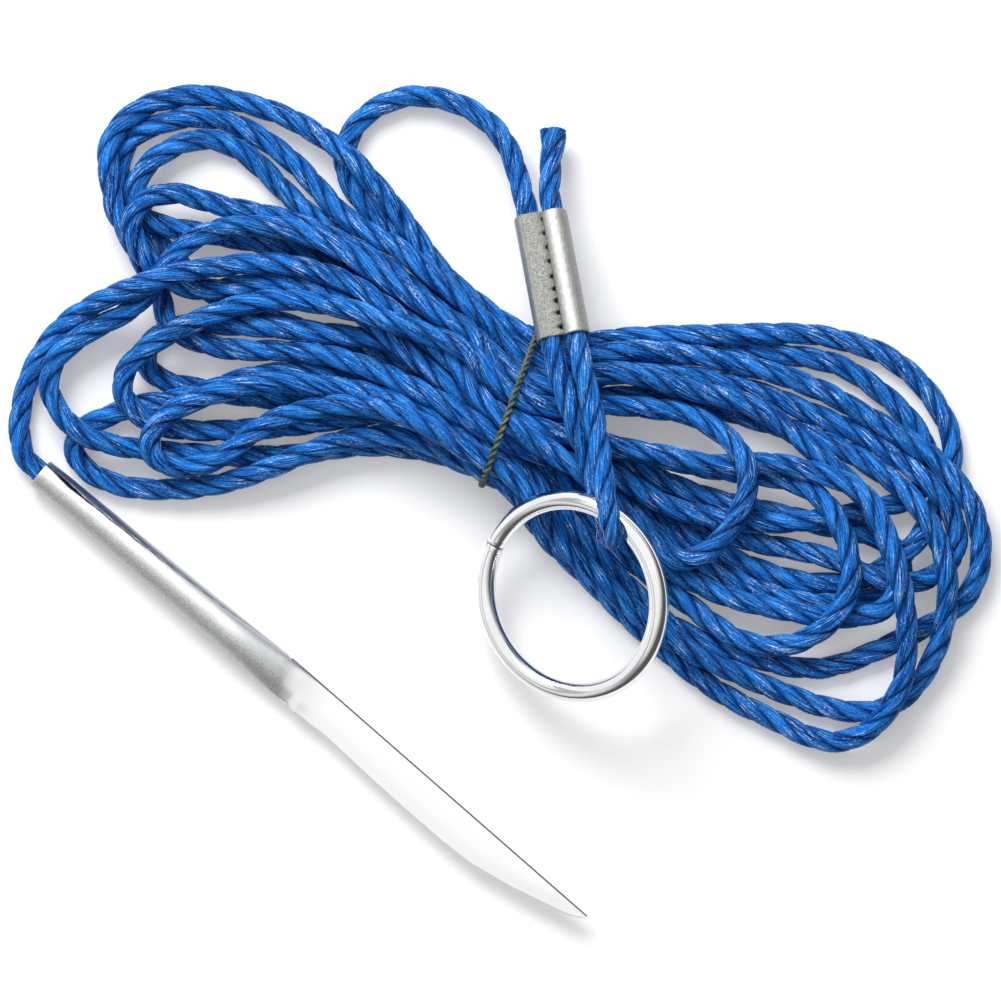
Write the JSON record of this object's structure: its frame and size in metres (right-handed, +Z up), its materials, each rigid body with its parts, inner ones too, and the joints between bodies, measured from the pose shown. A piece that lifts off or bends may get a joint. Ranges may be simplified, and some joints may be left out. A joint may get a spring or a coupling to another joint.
{
  "type": "fish stringer",
  "caption": "Blue twisted rope wound into a flat tied hank, with a steel ring in a crimped eye at one end and a flat-bladed threading needle crimped on the other, for keeping caught fish.",
  "frame": {"origin": "on the table under the middle of the whole object's box", "axes": "+Z up from the table, +X along the hank away from the needle's mouth, +Y across it away from the needle's point"},
  "size_m": [0.148, 0.1257, 0.0226],
  "materials": {
    "rope": "glossy filaments",
    "twine": "matte",
    "ring_steel": "polished plating",
    "ferrule_steel": "satin",
    "needle_steel": "satin"
  },
  "bodies": {
    "hank": {"rope_hank": "rope", "hank_tie": "twine", "rope_bow": "rope", "rope_lead": "rope"},
    "needle": {"needle": "needle_steel", "rope_end": "rope"},
    "eye": {"ferrule": "ferrule_steel", "rope_eye": "rope"},
    "ring": {"ring": "ring_steel"}
  },
  "joints": [
    {"name": "needle_swing", "type": "hinge", "parent": "hank", "child": "needle", "pos_m": [-0.0692, 0.0044, 0.00236], "axis": [0, 0, 1], "range_deg": [-90, 0], "deforming": ["rope_lead"]},
    {"name": "eye_lift", "type": "hinge", "parent": "hank", "child": "eye", "pos_m": [0.0054, 0.0548, 0.0017], "axis": [-0.9833, -0.1822, 0], "range_deg": [0, 60], "deforming": ["rope_bow"]},
    {"name": "ring_swing", "type": "hinge", "parent": "eye", "child": "ring", "pos_m": [0.01293, -0.00024, 0.01689], "axis": [-0.8688, 0.2634, -0.4193], "range_deg": [0, 110]}
  ]
}
